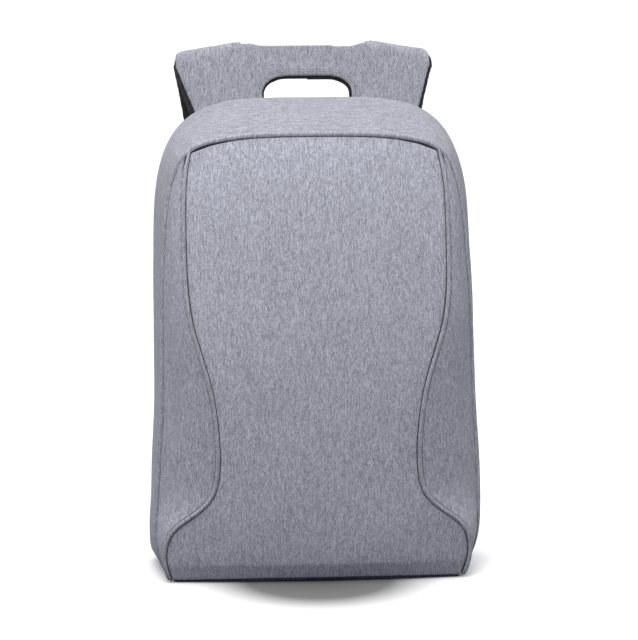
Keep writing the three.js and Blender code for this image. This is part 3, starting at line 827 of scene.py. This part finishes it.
def lining_shape(places):
    """The padded lining shows beside the yoke, more so low on the left, and inside the grip hole."""
    x, y, z = places.T
    shift_edges(places, 0.3 * MM, -2.4 * MM)
    across, up = (x - GRIP_MIDDLE[0]) / GRIP_HALF[0], (z - GRIP_MIDDLE[1]) / GRIP_HALF[1]
    ring = (across ** 4 + up ** 4) ** 0.25
    slope = np.stack([across ** 3 / GRIP_HALF[0], up ** 3 / GRIP_HALF[1]], axis=1)
    slope /= np.linalg.norm(slope, axis=1)[:, None] + 1e-9
    near = soft_step((1.7 - ring) / 0.6) * (y < 0.072)
    reach = near * np.where(x > 0, 2.4, 1.6) * MM
    places[:, 0] -= reach * slope[:, 0]
    places[:, 2] -= reach * slope[:, 1]
    return places


def hard_copy(node, look, slot, soft):
    """A piece with the solid's own shape and its edges rounded."""
    piece = merged(node, node + "_finished")
    with shaping(piece):
        bpy.ops.mesh.dissolve_limited(angle_limit=math.radians(1))
    modify(piece, "BEVEL", width=soft, segments=3, limit_method="ANGLE", angle_limit=math.radians(25))
    pick(piece)
    bpy.ops.object.shade_smooth_by_angle(angle=math.radians(35))
    finish_piece(piece, look, slot, node)
    return piece


ANCHOR_SHIFT = {"left": 5.5 * MM, "right": -1.2 * MM}


def strap_end(side):
    """The end of one strap: its tab, its buckle, the lower webbing and the tab it is sewn to."""
    across = Vector((1, 0, 0.2 if side == "left" else -0.2)).normalized()
    along = Vector((-across.z, 0, across.x))
    for node, look, slot, soft in (
        ("strap_tab_" + side, WEBBING, "webbing", 0.3 * MM),
        ("webbing_" + side, WEBBING, "webbing", 0.3 * MM),
        ("anchor_tab_" + side, WEBBING, "webbing", 0.8 * MM),
        ("strap_adjuster_" + side, BUCKLE, "buckle_plastic", 0.7 * MM),
    ):
        piece = hard_copy(node, look, slot, soft)
        if node.startswith("anchor"):
            places = points_of(piece)
            places[:, 0] += ANCHOR_SHIFT[side]
            move_points(piece, places)
        lay_uv(piece, lambda p: (p @ np.array(along), p @ np.array(across)))


def grip_outline(grow):
    """Points round the grip hole, as seen from the front, at a distance outside its edge."""
    points = []
    middle_x, middle_z = GRIP_MIDDLE
    half_x, half_z = GRIP_HALF
    corner_x, corner_z = GRIP_CORNER
    for side, up, start in ((1, -1, -90), (1, 1, 0), (-1, 1, 90), (-1, -1, 180)):
        for n in range(9):
            turn = math.radians(start + 90 * n / 8)
            way = Vector((math.cos(turn) / corner_x, math.sin(turn) / corner_z)).normalized()
            x = side * (half_x - corner_x) + corner_x * math.cos(turn) + grow * way.x
            z = up * (half_z - corner_z) + corner_z * math.sin(turn) + grow * way.y
            points.append(Vector((middle_x + x, 0, middle_z + z)))
    return points + points[:1]


def stitch_unit(length, thick):
    """One stitch: a short round thread that dips at its ends."""
    bpy.ops.mesh.primitive_uv_sphere_add(segments=6, ring_count=5, radius=thick / 2)
    unit = new_piece("stitch")
    places = points_of(unit)
    places[:, 2] *= length / thick
    move_points(unit, places)
    return unit


def stitches(name, line, outward, length, thick):
    """A row of stitches along a line of points, each with the direction it lies on."""
    places = []
    for a, b, out in zip(line, line[1:], outward):
        along = (b - a).normalized()
        side = along.cross(out).normalized()
        turn = Matrix((side, out, along)).transposed().to_4x4()
        places.append(Matrix.Translation((a + b) / 2) @ turn)
    piece = repeated(name, stitch_unit(length, thick), places)
    finish_piece(piece, SEAM_THREAD, "grey_fabric")


def laid_on(piece, line, way):
    """The points of a line, dropped along a direction on to a piece, with the surface's directions."""
    corners = [tuple(p) for p in points_of(piece)]
    surface = BVHTree.FromPolygons(corners, [p.vertices for p in piece.data.polygons])
    points, normals = [], []
    for point in line:
        place, normal, _, _ = surface.ray_cast(point - 0.5 * way, way)
        if place is not None:
            points.append(place)
            normals.append(normal)
    return points, normals


def grip_stitches(yoke):
    """Two rows of stitches round the grip hole, at their distances outside its edge."""
    for name, out in (("grip_stitches", 3.4 * MM), ("grip_stitches_outer", 5.4 * MM)):
        line, normals = laid_on(yoke, even_steps(grip_outline(out), 2.6 * MM), Vector((0, 1, 0)))
        stitches(name, line, normals, 2.1 * MM, 0.6 * MM)


STRAP_INSET = 4 * MM  # from a strap's edge to its stitches
STRAP_LOOKS = 4 * MM  # how often a strap's edges are looked up


def strap_stitches(harness):
    """A row of stitches inside each edge of both straps, on the side away from the bag."""
    places = points_of(harness)
    for side, name in ((-1, "left"), (1, "right")):
        back = places[(places[:, 1] > 0.066) & (side * places[:, 0] > 0.03)]
        rows = []
        for height in np.arange(0.2, 0.452, STRAP_LOOKS):
            row = back[np.abs(back[:, 2] - height) < 1.5 * MM]
            if len(row):
                rows.append((height, row[:, 0].min(), row[:, 0].max()))
        for edge, inside in ((1, STRAP_INSET), (2, -STRAP_INSET)):
            line = [Vector((row[edge] + inside, 0.2, row[0])) for row in rows]
            line, normals = laid_on(harness, even_steps(line, 3.4 * MM), Vector((0, -1, 0)))
            stitches("strap_stitches_%s_%d" % (name, edge), line, normals, 2.8 * MM, 0.55 * MM)


TOOTH = (4.2 * MM, 1.3 * MM, 0.95 * MM)
TOOTH_PITCH = 1.7 * MM
TOOTH_RISE = 0.4 * MM
TOOTH_ROUND = 0.35 * MM


def zip_teeth():
    """The coil's teeth along the middle of the zip."""
    line = [p + Vector((0, TOOTH_RISE, 0)) for p in zip_line(TOOTH_PITCH)]
    bpy.ops.mesh.primitive_cube_add(size=1)
    unit = new_piece("tooth")
    unit.scale = TOOTH
    settle(unit)
    modify(unit, "BEVEL", width=TOOTH_ROUND, segments=2)
    places = []
    for a, b in zip(line, line[1:]):
        along = (b - a).normalized()
        out = Vector((0, 1, 0))
        side = out.cross(along).normalized()
        turn = Matrix((side, out, along)).transposed().to_4x4()
        places.append(Matrix.Translation((a + b) / 2) @ turn)
    piece = repeated("zip_teeth", unit, places)
    lean(piece)
    finish_piece(piece, ZIP_COIL, "buckle_plastic")


def build():
    """Dresses every node of the frame."""
    for node in ("edge_piping", "front_piping_left", "front_piping_right"):
        piping(node)
    front_shell()
    for side in ("left", "right"):
        wing(side)
        corner_fill(side)
        strap_end(side)
    band()
    base()
    padded_back()
    zip_tape()
    zip_backing()
    back_backing()
    zip_teeth()
    harness = layer_of_harness("harness", HARNESS_CLOTH, "grey_fabric", outer_shape)
    layer_of_harness("harness_lining", AIR_MESH, "black_mesh", lining_shape)
    hard_copy("zip_slider", SLIDER, "slider_metal", 0.6 * MM)
    grip_stitches(harness)
    strap_stitches(harness)


# ---- studio ----


def place_camera():
    """A long lens at the photograph's distance, height, turn and roll."""
    data = bpy.data.cameras.new("studio_camera")
    data.lens = data.sensor_width * CAMERA_DISTANCE / PICTURE_SPAN
    camera = bpy.data.objects.new("studio_camera", data)
    bpy.context.collection.objects.link(camera)
    about = Matrix.Rotation(CAMERA_TURN, 4, "Z")
    tilt = Matrix.Rotation(math.pi / 2 - CAMERA_ELEVATION, 4, "X")
    roll = Matrix.Rotation(CAMERA_ROLL, 4, "Z")
    stand = Matrix.Translation(AIM) @ about @ tilt @ Matrix.Translation((0, 0, CAMERA_DISTANCE))
    camera.matrix_world = Matrix.Translation(stand.translation) @ about @ tilt @ roll
    bpy.context.scene.camera = camera


# Painted contact shadow: the paper is darker by the bag's foot: distances in metres, and how light it is
# there.
PAINTED_CONTACT_SHADOW = ((0.0, 0.1), (0.08, 0.15), (0.11, 0.55), (0.14, 0.88), (0.18, 0.95))


def place_floor():
    """A sheet of studio paper on the floor, with its far edge rising a little and a contact shadow painted
    into its colour by the bag's foot.
    """
    bpy.ops.mesh.primitive_grid_add(x_subdivisions=40, y_subdivisions=40, size=60, location=(0, 20, 0))
    floor = settle(new_piece("studio_floor"))
    places = points_of(floor)
    places[:, 2] = 0.01 * np.maximum(places[:, 1] - 12, 0) ** 2
    move_points(floor, places)
    smooth(floor)
    look = Look("studio_paper", (0.95, 0.95, 0.95), 0.95)
    from_foot = look.place.moved(0, 0.06, 0).stretched(1.25, 1, 0)
    far = look.node("ShaderNodeVectorMath", {"operation": "LENGTH"}, {0: from_foot}, 1)
    # Painted contact shadow in the paper's base colour.
    look.set("Base Color", look.ramp(far, *((place, (light,) * 3) for place, light in PAINTED_CONTACT_SHADOW)))
    floor.data.materials.append(look.material)
    floor.visible_diffuse = False


def soft_light(name, size, power, place, aim, colour=(1, 1, 1)):
    """A round lamp, turned to what it lights."""
    data = bpy.data.lights.new(name, "AREA")
    data.shape, data.size, data.energy, data.color = "DISK", size, power, colour
    light = bpy.data.objects.new(name, data)
    bpy.context.collection.objects.link(light)
    direction = Vector(aim) - Vector(place)
    light.matrix_world = Matrix.Translation(place) @ direction.to_track_quat("-Z", "Y").to_matrix().to_4x4()


# Height of a direction as a share, the light from there, and how blue it is.
SKY = (
    (0.0, 0.03, 3.0),
    (0.5, 0.045, 3.0),
    (0.53, 0.13, 1.6),
    (0.65, 0.22, 0.5),
    (0.8, 0.6, 0.0),
    (0.9, 1.5, 0.0),
    (1.0, 3.1, 0.0),
)


def place_lights():
    """A tent of light, brighter above and dim below the floor's level, and three soft lamps."""
    bpy.context.scene.view_settings.view_transform = "Standard"
    world = bpy.data.worlds.new("studio_air")
    world.use_nodes = True
    bpy.context.scene.world = world
    nodes, links = world.node_tree.nodes, world.node_tree.links
    way = nodes.new("ShaderNodeTexCoord")
    height = nodes.new("ShaderNodeSeparateXYZ")
    share = nodes.new("ShaderNodeMapRange")
    ramp = nodes.new("ShaderNodeValToRGB")
    share.inputs["From Min"].default_value = -1
    links.new(way.outputs["Generated"], height.inputs[0])
    links.new(height.outputs["Z"], share.inputs["Value"])
    links.new(share.outputs["Result"], ramp.inputs[0])
    while len(ramp.color_ramp.elements) < len(SKY):
        ramp.color_ramp.elements.new(0.5)
    for element, (place, level, blue) in zip(ramp.color_ramp.elements, SKY):
        element.position = place
        element.color = (level * (1 - 0.14 * blue), level * (1 - 0.07 * blue), level * (1 + 0.25 * blue), 1)
    links.new(ramp.outputs["Color"], nodes["Background"].inputs["Color"])
    soft_light("key_light", 0.6, 7.1, (-0.2, -0.9, 0.79), (0, 0, 0.28), (1, 0.985, 0.96))
    soft_light("left_fill", 1.0, 4.6, (-1.6, -0.2, 0.6), (0, 0, 0.2))
    soft_light("right_fill", 1.0, 5.2, (1.6, -0.2, 0.6), (0, 0, 0.2))


place_camera()
place_floor()
place_lights()
build()
